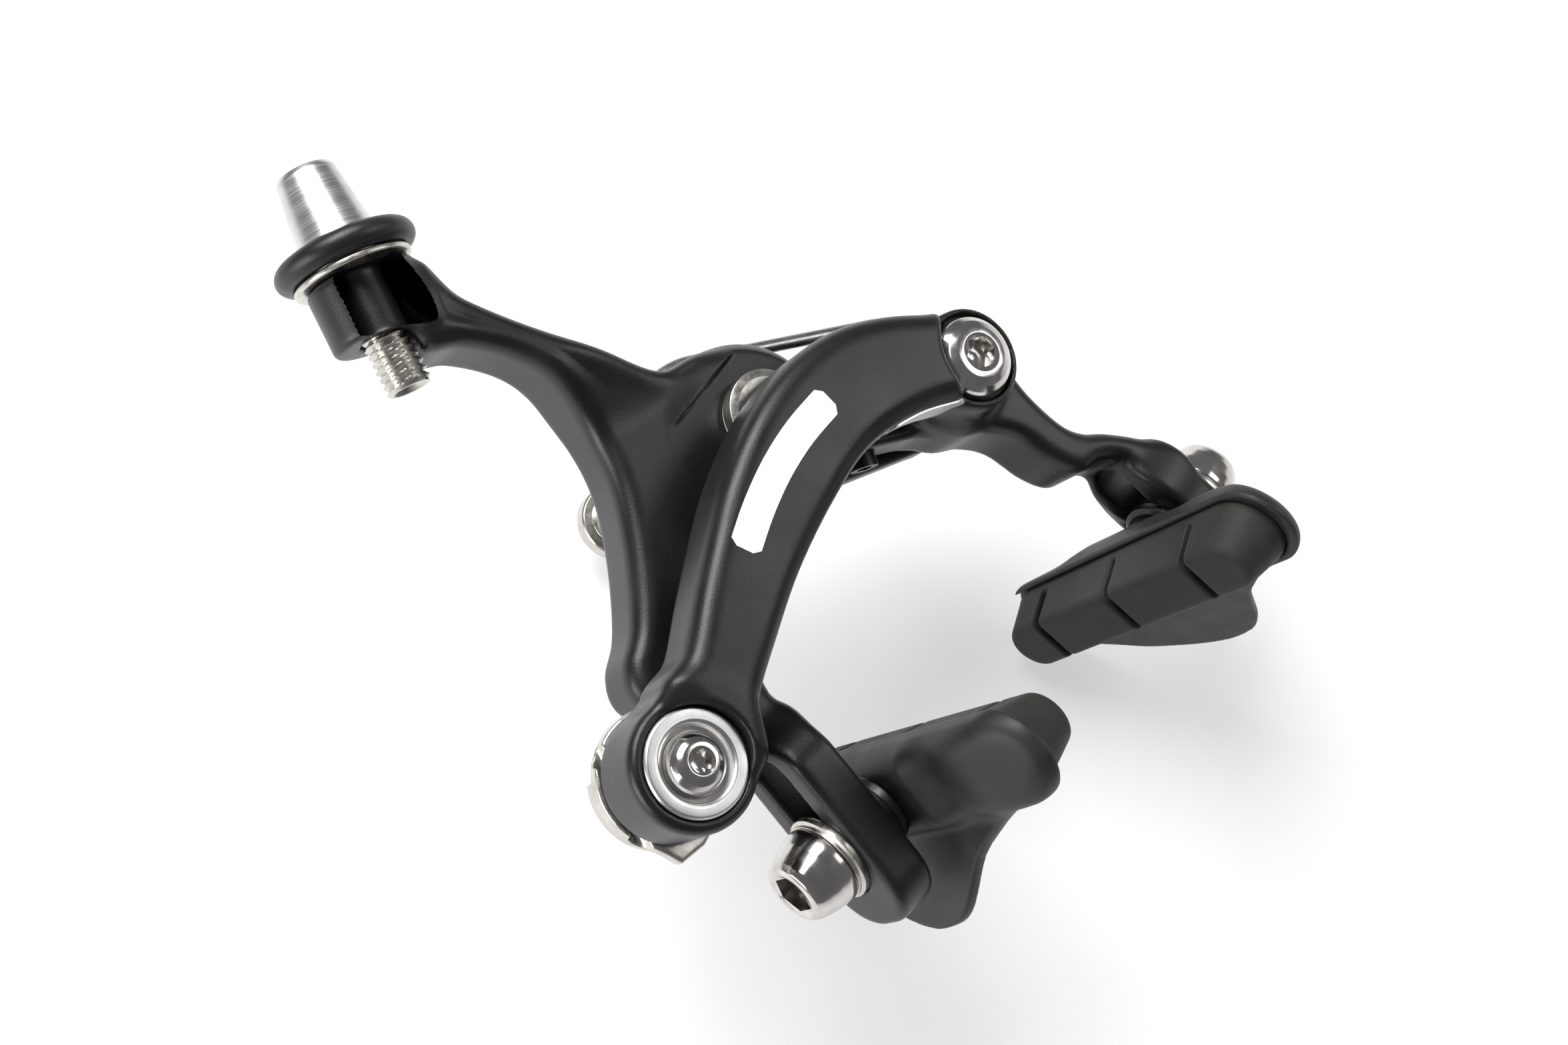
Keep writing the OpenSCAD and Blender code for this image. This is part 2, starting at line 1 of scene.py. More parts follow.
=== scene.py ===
"""Looks of a dual pivot rim brake caliper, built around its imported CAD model.

Lengths are in millimetres up to the moment a mesh is made, and MM turns them into metres.
"""

import json
import math

import bpy
import numpy as np
from mathutils import Matrix, Vector


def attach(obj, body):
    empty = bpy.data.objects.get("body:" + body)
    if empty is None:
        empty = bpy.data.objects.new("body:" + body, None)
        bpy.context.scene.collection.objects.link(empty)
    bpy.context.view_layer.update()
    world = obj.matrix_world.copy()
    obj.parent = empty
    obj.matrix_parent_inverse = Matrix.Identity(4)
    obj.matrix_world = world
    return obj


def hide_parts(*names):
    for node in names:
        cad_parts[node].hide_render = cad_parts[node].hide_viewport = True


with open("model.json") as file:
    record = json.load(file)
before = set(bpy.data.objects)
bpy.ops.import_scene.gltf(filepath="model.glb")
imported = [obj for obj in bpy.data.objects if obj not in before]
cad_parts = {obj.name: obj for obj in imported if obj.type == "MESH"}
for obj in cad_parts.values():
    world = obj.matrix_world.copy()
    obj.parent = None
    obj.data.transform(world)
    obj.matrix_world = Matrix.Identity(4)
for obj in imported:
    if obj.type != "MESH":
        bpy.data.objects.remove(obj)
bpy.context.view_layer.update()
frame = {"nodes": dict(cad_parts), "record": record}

MM = 0.001
NODES = frame["nodes"]

# Depth stations along Y, negative towards the front, and places in the front view as (x, z)
BOSS_REAR, BOSS_FRONT = -10.8, -20.7
BOSS_MIDDLE = (BOSS_FRONT + BOSS_REAR) / 2
BAND_REAR, BAND_FRONT = -25.5, -35.0
SHOE_Y = -17.5
CENTRE = (0.0, 0.0)
SIDE = (24.0, -16.5)
ANCHOR = (-47.3, -16.8)
ADJUSTER = (-27.0, -21.0, 42.0)
# Depth of the spring's plane
SPRING_Y = -7.5
# Tilt of the adjuster and the cable from upright, and of the shoe wings, in degrees
LEAN = 24.8
WING_TILT = 22
# Thickness of the arms' slotted ends
ARM_T = 6.5
# Radius of an M6 thread with its clearance
M6_HOLE = 3.06

# ---- Materials ----


class Shader:
    """A material with a Principled shader and short ways to add nodes to it."""

    def __init__(self, name, colour, rough, metallic=0.0, **sockets):
        self.material = bpy.data.materials.new(name)
        self.material.use_nodes = True
        self.tree = self.material.node_tree
        self.main = self.tree.nodes["Principled BSDF"]
        self.put(self.main, "Base Color", (*colour, 1))
        self.put(self.main, "Roughness", rough)
        self.put(self.main, "Metallic", metallic)
        for socket, value in sockets.items():
            self.put(self.main, socket.replace("_", " "), value)
        self.where = self.tree.nodes.new("ShaderNodeTexCoord").outputs["Object"]

    def put(self, node, socket, value):
        if isinstance(value, bpy.types.NodeSocket):
            self.tree.links.new(value, node.inputs[socket])
        else:
            node.inputs[socket].default_value = value

    def noise(self, per_mm, detail=3.0, stretch=None, where=None):
        """Noise whose features are about 1 / per_mm millimetres wide."""
        place = where or self.where
        if stretch:
            mapping = self.tree.nodes.new("ShaderNodeMapping")
            self.put(mapping, "Vector", place)
            mapping.inputs["Scale"].default_value = stretch
            place = mapping.outputs["Vector"]
        node = self.tree.nodes.new("ShaderNodeTexNoise")
        self.put(node, "Vector", place)
        self.put(node, "Scale", per_mm / MM)
        self.put(node, "Detail", detail)
        return node.outputs["Fac"]

    def span(self, value, low, high, start=0.3, end=0.7):
        """Maps a factor from start..end to low..high."""
        node = self.tree.nodes.new("ShaderNodeMapRange")
        self.put(node, "Value", value)
        sockets = ("From Min", "From Max", "To Min", "To Max")
        for socket, number in zip(sockets, (start, end, low, high)):
            self.put(node, socket, number)
        return node.outputs["Result"]

    def mix(self, factor, dark, light):
        node = self.tree.nodes.new("ShaderNodeMix")
        node.data_type = "RGBA"
        self.put(node, "Factor", factor)
        node.inputs["A"].default_value = (*dark, 1)
        node.inputs["B"].default_value = (*light, 1)
        return node.outputs["Result"]

    def tint(self, value, dark, light):
        """Base colour that wanders between two shades."""
        self.put(self.main, "Base Color", self.mix(self.span(value, 0, 1), dark, light))

    def bump(self, height, depth_mm, strength):
        node = self.tree.nodes.new("ShaderNodeBump")
        self.put(node, "Height", height)
        self.put(node, "Distance", depth_mm * MM)
        self.put(node, "Strength", strength)
        self.put(self.main, "Normal", node.outputs["Normal"])

    def local(self):
        """Coordinates before a turned piece was put in place, in metres: z is its axis."""
        node = self.tree.nodes.new("ShaderNodeAttribute")
        node.attribute_name = "turned"
        return node.outputs["Vector"]

    def turned_lines(self, per_mm):
        """Fine lathe lines: noise of the distance from the axis and the height along it."""
        split = self.tree.nodes.new("ShaderNodeSeparateXYZ")
        self.put(split, "Vector", self.local())
        join = self.tree.nodes.new("ShaderNodeCombineXYZ")
        length = self.tree.nodes.new("ShaderNodeVectorMath")
        length.operation = "LENGTH"
        flat = self.tree.nodes.new("ShaderNodeCombineXYZ")
        self.tree.links.new(split.outputs["X"], flat.inputs["X"])
        self.tree.links.new(split.outputs["Y"], flat.inputs["Y"])
        self.tree.links.new(flat.outputs["Vector"], length.inputs[0])
        self.tree.links.new(length.outputs["Value"], join.inputs["X"])
        self.tree.links.new(split.outputs["Z"], join.inputs["Z"])
        return self.noise(per_mm, 2.0, where=join.outputs["Vector"])


def black_paint():
    """Satin black powder coat with a fine grain."""
    s = Shader("black_paint", (0.006, 0.006, 0.0065), 0.36, Specular_IOR_Level=0.5)
    grain = s.noise(3.2, 2.0)
    cloud = s.noise(0.12)
    s.put(s.main, "Roughness", s.span(cloud, 0.33, 0.42))
    s.tint(cloud, (0.005, 0.005, 0.0055), (0.009, 0.009, 0.0095))
    s.bump(grain, 0.03, 0.6)
    return s.material


def holder_black():
    """Softer black coat of the shoe holders."""
    s = Shader("holder_black", (0.016, 0.016, 0.017), 0.5, Specular_IOR_Level=0.45)
    cloud = s.noise(0.25)
    s.put(s.main, "Roughness", s.span(cloud, 0.44, 0.56))
    s.tint(cloud, (0.013, 0.013, 0.014), (0.022, 0.022, 0.023))
    s.bump(s.noise(8.0, 2.0), 0.02, 0.35)
    return s.material


def pad_rubber():
    """Moulded brake rubber with a dusty bloom."""
    s = Shader("pad_rubber", (0.02, 0.02, 0.019), 0.62, Specular_IOR_Level=0.35)
    bloom = s.noise(0.3, 4.0)
    s.tint(bloom, (0.017, 0.017, 0.016), (0.03, 0.03, 0.028))
    s.put(s.main, "Roughness", s.span(bloom, 0.56, 0.7))
    s.bump(s.noise(6.0, 3.0), 0.02, 0.3)
    return s.material


def ring_rubber():
    """Smooth black rubber of the adjuster's ring."""
    s = Shader("ring_rubber", (0.008, 0.008, 0.008), 0.4, Specular_IOR_Level=0.5)
    s.put(s.main, "Roughness", s.span(s.noise(0.5), 0.34, 0.46))
    s.bump(s.noise(4.0, 3.0), 0.02, 0.25)
    return s.material


def polished_steel():
    """Bright turned steel with faint lathe lines and a few wipe marks."""
    s = Shader("polished_steel", (0.62, 0.6, 0.57), 0.13, 1.0)
    lines = s.turned_lines(9.0)
    s.put(s.main, "Roughness", s.span(s.noise(0.6, 4.0), 0.1, 0.22))
    s.tint(s.noise(0.35), (0.52, 0.5, 0.47), (0.7, 0.68, 0.66))
    s.bump(lines, 0.004, 0.25)
    return s.material


def satin_steel():
    """Nickel plated steel with a soft grain."""
    s = Shader("satin_steel", (0.6, 0.58, 0.54), 0.28, 1.0)
    s.put(s.main, "Roughness", s.span(s.noise(1.2, 4.0), 0.22, 0.38))
    s.tint(s.noise(0.5), (0.5, 0.48, 0.44), (0.66, 0.64, 0.6))
    s.bump(s.noise(3.0, 3.0, stretch=(1, 1, 4)), 0.01, 0.3)
    return s.material


def satin_aluminium():
    """Machined aluminium with turned lines."""
    s = Shader("satin_aluminium", (0.68, 0.68, 0.68), 0.32, 1.0)
    lines = s.turned_lines(6.0)
    s.put(s.main, "Roughness", s.span(lines, 0.26, 0.42))
    s.tint(s.noise(0.4), (0.6, 0.6, 0.6), (0.74, 0.74, 0.735))
    s.bump(lines, 0.012, 0.4)
    return s.material


def dark_steel():
    """Blackened steel."""
    s = Shader("dark_steel", (0.05, 0.05, 0.052), 0.38, 1.0)
    s.put(s.main, "Roughness", s.span(s.noise(1.0, 4.0), 0.3, 0.48))
    s.bump(s.noise(5.0), 0.01, 0.3)
    return s.material


def spring_steel():
    """Drawn wire."""
    s = Shader("spring_steel", (0.4, 0.4, 0.41), 0.3, 1.0)
    s.put(s.main, "Roughness", s.span(s.noise(1.5, 4.0), 0.24, 0.4))
    s.bump(s.noise(4.0, 2.0, stretch=(1, 6, 1)), 0.01, 0.3)
    return s.material


def bush_brass():
    """Worn brass of the pivots' bushes."""
    s = Shader("bush_brass", (0.55, 0.42, 0.22), 0.35, 1.0)
    s.put(s.main, "Roughness", s.span(s.noise(2.0), 0.3, 0.45))
    s.bump(s.noise(6.0), 0.01, 0.2)
    return s.material


def polymer_washer():
    """Ivory slip washer."""
    s = Shader("polymer_washer", (0.55, 0.53, 0.46), 0.5, Subsurface_Weight=0.1)
    s.put(s.main, "Roughness", s.span(s.noise(1.0), 0.42, 0.58))
    s.bump(s.noise(4.0), 0.01, 0.3)
    return s.material


MATERIALS = {
    maker.__name__: maker()
    for maker in (
        black_paint, holder_black, pad_rubber, ring_rubber, polished_steel, satin_steel,
        satin_aluminium, dark_steel, spring_steel, bush_brass, polymer_washer,
    )
}

# ---- Mesh helpers ----


def piece(name, verts, faces, slot, body, node, sharp=35.0, local=None):
    """A new visible piece from vertices in millimetres. It rides on body and stands for node."""
    mesh = bpy.data.meshes.new(name)
    mesh.from_pydata((np.asarray(verts) * MM).tolist(), [], faces)
    mesh.validate()
    mesh.polygons.foreach_set("use_smooth", [True] * len(mesh.polygons))
    mesh.set_sharp_from_angle(angle=math.radians(sharp))
    if local is not None:
        field = mesh.attributes.new("turned", "FLOAT_VECTOR", "POINT")
        field.data.foreach_set("vector", (np.asarray(local) * MM).ravel())
    mesh.materials.append(MATERIALS[slot])
    obj = bpy.data.objects.new(name, mesh)
    bpy.context.scene.collection.objects.link(obj)
    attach(obj, body)
    if node:
        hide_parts(node)
    return obj


def axes(origin, x, z):
    """Placement with local x and z along these directions."""
    z = Vector(z).normalized()
    x = Vector(x)
    x = (x - z * x.dot(z)).normalized()
    turn = Matrix((x, z.cross(x), z)).transposed().to_4x4()
    return Matrix.Translation(Vector(origin)) @ turn


def placed(place, verts):
    """Vertices moved from a placement's own axes into the shared frame."""
    return verts @ np.array(place.to_3x3()).T + np.array(place.translation)


def front(place, y):
    """Placement on the front view with local z towards the front."""
    return axes((place[0], y, place[1]), (1, 0, 0), (0, -1, 0))


def adjuster_place():
    """Placement on the adjuster's axis, local z up it."""
    lean = math.radians(LEAN)
    axis = (math.sin(lean), 0, math.cos(lean))
    return axes(ADJUSTER, (math.cos(lean), 0, -math.sin(lean)), axis)


def hexagon(angle, flats):
    """Distance from the axis to the side of a hexagon at an angle."""
    sector = math.pi / 3
    return flats / 2 / np.cos((angle + sector / 2) % sector - sector / 2)


def soften(profile, radius):
    """Rounds the corners of a profile of (r, z, flats) points with short curves."""
    out = [profile[0]]
    for before, here, after in zip(profile, profile[1:], profile[2:]):
        a, b, c = (np.array(p[:2], float) for p in (before, here, after))
        la, lc = np.linalg.norm(a - b), np.linalg.norm(c - b)
        cut = min(radius, la * 0.45, lc * 0.45)
        if cut < 0.01:
            out.append(here)
            continue
        p, q = b + (a - b) / la * cut, b + (c - b) / lc * cut
        for t in (0, 0.33, 0.67, 1):
            r, z = p * (1 - t) ** 2 + b * 2 * t * (1 - t) + q * t * t
            out.append((r, z, here[2]))
    return out + [profile[-1]]


def turned(name, profile, place, slot, body, node=None, round_r=0.12, segments=96, wave=None):
    """A piece turned about local z from (r, z) or (r, z, flats) points.

    The profile is closed into a ring, or capped where it starts on the axis. Where flats is
    given, the section is the circle cut down to a hexagon of that width across flats.
    wave(angle, r, z) may return a change of radius, as for a thread.
    """
    profile = [(p[0], p[1], p[2] if len(p) > 2 else 0) for p in profile]
    closed = profile[0][0] > 0
    if closed:
        profile = profile + [profile[0]]
    profile = soften(profile, round_r) if round_r else profile
    if closed:
        profile = profile[:-1]
    angle = np.arange(segments) * 2 * math.pi / segments
    rings = []
    for r, z, flats in profile:
        radius = np.full(segments, float(r))
        if flats:
            radius = np.minimum(radius, hexagon(angle, flats))
        if wave:
            radius = radius + wave(angle, r, z)
        level = np.full(segments, float(z))
        rings.append(np.stack([radius * np.cos(angle), radius * np.sin(angle), level], 1))
    local = np.concatenate(rings)
    count = len(profile)
    faces = []
    for j in range(count if closed else count - 1):
        k = (j + 1) % count
        for i in range(segments):
            n = (i + 1) % segments
            faces.append((j * segments + i, j * segments + n, k * segments + n, k * segments + i))
    if not closed:
        faces = faces[segments:-segments]
        first, last = 0, (count - 1) * segments
        faces += [(first, segments + (i + 1) % segments, segments + i) for i in range(segments)]
        ring = last - segments
        faces += [(last, ring + i, ring + (i + 1) % segments) for i in range(segments)]
    used = sorted({v for f in faces for v in f})
    index = {v: i for i, v in enumerate(used)}
    faces = [tuple(index[v] for v in f) for f in faces]
    local = local[used]
    fix_normals(piece(name, placed(place, local), faces, slot, body, node, local=local))


def fix_normals(obj):
    """Turns the faces of a closed mesh outwards."""
    mesh = obj.data
    co = np.array([v.co for v in mesh.vertices])
    volume = 0.0
    for p in mesh.polygons:
        v = [co[i] for i in p.vertices]
        for a, b in zip(v[1:], v[2:]):
            volume += np.dot(v[0], np.cross(a, b))
    if volume < 0:
        mesh.flip_normals()


# ---- Solids from distance fields ----


class Field:
    """Box grid for distance fields in millimetres, negative inside."""

    def __init__(self, low, high, step):
        self.step = step
        self.low = np.array(low, np.float32)
        grids = [np.arange(a, b + step, step, dtype=np.float32) for a, b in zip(low, high)]
        self.x, self.y, self.z = np.meshgrid(*grids, indexing="ij", sparse=True)

    def along(self, origin, axis):
        """Height along an axis through origin, and distance from it."""
        axis = Vector(axis).normalized()
        dx, dy, dz = self.x - origin[0], self.y - origin[1], self.z - origin[2]
        height = dx * axis.x + dy * axis.y + dz * axis.z
        square = dx * dx + dy * dy + dz * dz - height * height
        return height, np.sqrt(np.maximum(square, 0))

    def rod(self, origin, axis, radius, low, high, edge=0.6):
        height, away = self.along(origin, axis)
        return carve(away - radius, -np.maximum(low - height, height - high), edge)

    def slab(self, outline, front_y, rear_y, edge):
        """Extrusion of a front view outline between two depths, with rounded edges."""
        flat = polygon_distance(outline, self.x, self.z)
        return carve(flat, -np.maximum(front_y - self.y, self.y - rear_y), edge)

    def frame(self, place):
        """Coordinates in a placement's own axes."""
        inverse = place.inverted()
        return tuple(
            inverse[i][0] * self.x + inverse[i][1] * self.y + inverse[i][2] * self.z + inverse[i][3]
            for i in range(3)
        )


def join(a, b, blend):
    """Union with a fillet."""
    h = np.maximum(blend - np.abs(a - b), 0)
    return np.minimum(a, b) - h * h / (4 * blend)


def carve(a, b, blend):
    """a with b taken away, the new edge rounded."""
    return -join(-a, b, blend)


def block(x, y, z, half, edge):
    """Rounded box centred on the origin of the given coordinates."""
    qx, qy, qz = (np.abs(v) - h + edge for v, h in zip((x, y, z), half))
    outside = np.sqrt(np.maximum(qx, 0) ** 2 + np.maximum(qy, 0) ** 2 + np.maximum(qz, 0) ** 2)
    return outside + np.minimum(np.maximum(qx, np.maximum(qy, qz)), 0) - edge


def curve(points, steps=6):
    """Smooth closed outline through points."""
    p = np.array(points, float)
    out = []
    for i in range(len(p)):
        a, b, c, d = (p[(i + k) % len(p)] for k in (-1, 0, 1, 2))
        for s in range(steps):
            t = s / steps
            out.append(
                b + (c - a) * t / 2 + (2 * a - 5 * b + 4 * c - d) * t * t / 2
                + (3 * b - a - 3 * c + d) * t * t * t / 2
            )
    return np.array(out)


def polygon_distance(points, x, z):
    """Signed distance to a closed outline, negative inside."""
    best = np.full(np.broadcast(x, z).shape, 1e9, np.float32)
    inside = np.zeros(best.shape, bool)
    for (ax, az), (bx, bz) in zip(points, np.roll(points, -1, axis=0)):
        ex, ez = bx - ax, bz - az
        px, pz = x - ax, z - az
        t = np.clip((px * ex + pz * ez) / (ex * ex + ez * ez + 1e-12), 0, 1)
        best = np.minimum(best, (px - ex * t) ** 2 + (pz - ez * t) ** 2)
        crosses = (az > z) != (bz > z)
        side = px * ez - pz * ex
        inside ^= crosses & ((side < 0) == (ez > 0))
    return np.where(inside, -1, 1) * np.sqrt(best)


def surface(field, values):
    """Vertices and quads of the zero level of a distance field, by surface nets."""
    f = np.ascontiguousarray(np.broadcast_to(values, np.broadcast(field.x, field.y, field.z).shape))
    solid = f < 0
    corners = [(i, j, k) for i in (0, 1) for j in (0, 1) for k in (0, 1)]
    n = np.array(f.shape) - 1
    view = lambda a, c: a[c[0]:c[0] + n[0], c[1]:c[1] + n[1], c[2]:c[2] + n[2]]
    count = sum(view(solid, c).astype(np.int8) for c in corners)
    cells = np.argwhere((count > 0) & (count < 8))
    values8 = np.stack([f[tuple((cells + c).T)] for c in corners], 1)
    total = np.zeros((len(cells), 3))
    hits = np.zeros((len(cells), 1))
    for a, ca in enumerate(corners):
        for b, cb in enumerate(corners):
            if b <= a or sum(abs(p - q) for p, q in zip(ca, cb)) != 1:
                continue
            va, vb = values8[:, a:a + 1], values8[:, b:b + 1]
            hit = (va < 0) != (vb < 0)
            t = np.where(hit, va / np.where(hit, va - vb, 1), 0)
            total += hit * (np.array(ca) + t * (np.array(cb) - np.array(ca)))
            hits += hit
    verts = field.low + (cells + total / hits) * field.step
    number = np.full(n, -1, np.int64)
    number[tuple(cells.T)] = np.arange(len(cells))
    quads = []
    for axis in range(3):
        ahead = np.zeros(3, int)
        ahead[axis] = 1
        limit = np.array(f.shape) - ahead
        low = solid[:limit[0], :limit[1], :limit[2]]
        high = solid[ahead[0]:, ahead[1]:, ahead[2]:]
        for inner, flip in ((low & ~high, False), (~low & high, True)):
            at = np.argwhere(inner)
            u, v = (axis + 1) % 3, (axis + 2) % 3
            at = at[(at[:, u] > 0) & (at[:, v] > 0)]
            ring = []
            for du, dv in ((0, 0), (-1, 0), (-1, -1), (0, -1)):
                cell = at.copy()
                cell[:, u] += du
                cell[:, v] += dv
                ring.append(number[tuple(cell.T)])
            quad = np.stack(ring, 1)
            quads.append(quad[:, ::-1] if flip else quad)
    return verts, np.concatenate(quads)


def cast(name, field, values, slot, body, node, sharp=60.0):
    """A piece from a distance field, with its faces outwards."""
    verts, quads = surface(field, values)
    fix_normals(piece(name, verts, quads.tolist(), slot, body, node, sharp=sharp))


# ---- Shared outlines of the arms, in the front view ----

REAR_ARM = curve([
    (-18, 45), (-16.8, 38.5), (-13.4, 30), (-9.2, 22), (-4.6, 14.2), (1.5, 10.5), (8, 2), (6, -6),
    (-1, -9.8), (-9, -10), (-16, -12), (-23, -16), (-27.5, -21.5), (-29.4, -28.5), (-35.8, -26.5),
    (-36.3, -20), (-37.2, -14.5), (-40.4, -11.4), (-40.4, -8.4), (-38, -5.6), (-33.8, -3.6),
    (-28.2, 1), (-23.2, 6.2), (-20, 10.6), (-17.9, 15.5), (-17, 20), (-17, 25), (-18.6, 30),
    (-21.6, 34.6), (-25.5, 38.5),
])
BAND = curve([
    (-43, -9.2), (-37.6, -7.8), (-31, -4.7), (-24.6, -1.9), (-17.3, 1), (-8.6, 3.1), (0, 3.5),
    (8, 1.9), (14.4, -1.3), (20.4, -6.2), (25, -11.6), (22, -21.5), (16.2, -18.2), (9.4, -14.2),
    (0.6, -11.6), (-9, -11.9), (-19.3, -13.5), (-28.2, -16), (-36.4, -18.8), (-42, -22.5),
])
RIGHT_ARM = curve([
    (24, -10), (31, -13.5), (32, -20), (30.6, -27), (30.6, -33.4), (32, -37), (35, -40.2),
    (38.6, -45.5), (39.8, -52), (33.4, -52), (33.4, -45), (31, -41.8), (27.2, -40.2), (25.2, -36),
    (24.2, -30), (21.6, -26), (17.8, -22.5), (16.2, -16),
])


def shoe_place(side):
    """A shoe's frame: x along its bolt to the rim, y to the rear, z up its slot."""
    if side == "left":
        tilt = math.radians(11)
        x = Vector((math.cos(tilt), 0, -math.sin(tilt)))
        z = Vector((math.sin(tilt), 0, math.cos(tilt)))
        origin = Vector((-35.4, SHOE_Y, -42.4))
    else:
        x, z = Vector((-1, 0, 0)), Vector((0, 0, 1))
        origin = Vector((36.6, SHOE_Y, -57.8))
    turn = Matrix((x, Vector((0, 1, 0)), z)).transposed().to_4x4()
    return Matrix.Translation(origin) @ turn


def smooth_step(low, high, value):
    t = np.clip((value - low) / (high - low), 0, 1)
    return t * t * (3 - 2 * t)


def slotted_end(field, side, up, down, top):
    """Slotted end of an arm with a rounded tip, and its slot, in a shoe's frame."""
    x, y, z = field.frame(shoe_place(side))
    half_w, tip, corner = 7.5, -11.9, 6.2
    middle, half = (top + tip) / 2, (top - tip) / 2
    flat_y = np.abs(y) - half_w + corner
    flat_z = np.abs(z - middle) - half + corner
    outline = np.sqrt(np.maximum(flat_y, 0) ** 2 + np.maximum(flat_z, 0) ** 2)
    outline = outline + np.minimum(np.maximum(flat_y, flat_z), 0) - corner
    arm = carve(outline, -(np.abs(x) - ARM_T / 2), 1.5)
    slot_z = np.clip(z, -down, up)
    slot = np.sqrt(y * y + (z - slot_z) ** 2) - 3.3
    return arm, slot


def between_pivots(f):
    """Coordinates from the centre pivot: along the line to the side pivot, and up from it."""
    turn = math.atan2(-SIDE[1], SIDE[0])
    along = f.x * math.cos(turn) - f.z * math.sin(turn)
    return along, f.x * math.sin(turn) + f.z * math.cos(turn)


def distance(f, place):
    """Distance from an axis along Y."""
    return np.sqrt((f.x - place[0]) ** 2 + (f.z - place[1]) ** 2)


def rear_arm():
    """Arm on the centre pivot, from the adjuster's barrel down to the left shoe's slot."""
    f = Field((-44, -25.6, -56), (22, -9.2, 55.5), 0.34)
    neck = smooth_step(7, 21, f.z + 0.35 * f.x)
    front_y = BOSS_FRONT + 0.02 - 3.9 * neck
    rear_y = BOSS_REAR - 2.7 * smooth_step(12, 24, f.z + 0.3 * f.x)
    flat = polygon_distance(REAR_ARM, f.x, f.z)
    dish = 0.9 * smooth_step(1.2, 5.0, -flat) * smooth_step(13, 26, f.z)
    body = carve(flat, -(front_y + dish - f.y), 3.0)
    body = carve(body, -(f.y - rear_y), 2.0)
    away = np.sqrt(f.x**2 + f.z**2)
    boss = carve(away - 11.45, -(BOSS_FRONT - f.y), 5.0)
    boss = carve(boss, -(f.y - BOSS_REAR), 1.0)
    body = join(body, boss, 3.0)
    lean = math.radians(LEAN)
    axis = (math.sin(lean), 0, math.cos(lean))
    body = join(body, f.rod(ADJUSTER, axis, 6.45, 0, 8.38, 0.9), 4.0)
    end, slot = slotted_end(f, "left", up=13.5, down=2.9, top=17.5)
    body = join(body, end, 3.5)
    along, up = between_pivots(f)
    lug = block(along - 14.3, f.y - BOSS_MIDDLE, up - 2.4, (4.8, 4.9, 2.1), 0.8)
    body = join(body, lug, 1.2)
    flat_faces = np.maximum(BOSS_FRONT - f.y, f.y - BOSS_REAR)
    body = np.where(f.z + 0 * f.x < 8, np.maximum(body, np.where(away < 13, flat_faces, -9)), body)
    body = carve(body, away - 5.0, 0.3)
    _, off = f.along(ADJUSTER, axis)
    body = carve(body, off - 3.1, 0.5)
    body = carve(body, slot, 0.9)
    cast("rear_arm_shell", f, body, "black_paint", "rear_arm", "rear_arm")


def front_arm():
    """Arm on the side pivot: the band across the front, and the leg down to the right shoe."""
    f = Field((-56.5, -35.6, -70.8), (46, -9.2, 4.6), 0.36)
    flat = polygon_distance(BAND, f.x, f.z)
    band = carve(flat, -(BAND_FRONT - f.y), 3.4)
    band = carve(band, -(f.y - BAND_REAR), 1.6)
    away_side, away_anchor = distance(f, SIDE), distance(f, ANCHOR)
    hub = carve(away_anchor - 8.35, -(-33.0 - f.y), 1.6)
    hub = carve(hub, -(f.y + 23.0), 1.0)
    body = join(band, hub, 3.2)
    arm = polygon_distance(RIGHT_ARM, f.x, f.z)
    arm = carve(arm, -(-24.0 - f.y), 2.4)
    arm = carve(arm, -(f.y + 13.0), 1.6)
    end, slot = slotted_end(f, "right", up=10, down=4.5, top=12)
    arm = join(arm, end, 3.0)
    pivot = carve(away_side - 7.05, -(-30.0 - f.y), 0.7)
    pivot = carve(pivot, -(f.y - BOSS_REAR), 0.8)
    arm = join(arm, pivot, 2.6)
    body = join(body, arm, 2.2)
    along, up = between_pivots(f)
    finger = block(along - 19.3, f.y - BOSS_MIDDLE, up + 4.0, (6.6, 3.95, 3.0), 0.8)
    body = join(body, finger, 1.2)
    wall = np.maximum(away_side - 7.6, f.y + 30.0)
    body = carve(body, wall, 1.4)
    recess = np.maximum(away_side - 6.2, f.y + 28.6)
    body = carve(body, recess, 0.5)
    body = carve(body, away_side - 4.5, 0.2)
    cup = np.maximum(away_anchor - 6.75, f.y + 31.4)
    body = carve(body, cup, 0.4)
    body = carve(body, away_anchor - 3.1, 0.2)
    screw_hole = np.sqrt((along - 15.9) ** 2 + (f.y - BOSS_MIDDLE) ** 2) - 2.05
    body = carve(body, np.maximum(screw_hole, up - 1.0), 0.2)
    body = carve(body, slot, 0.9)
    cast("front_arm_shell", f, body, "black_paint", "front_arm", "front_arm")


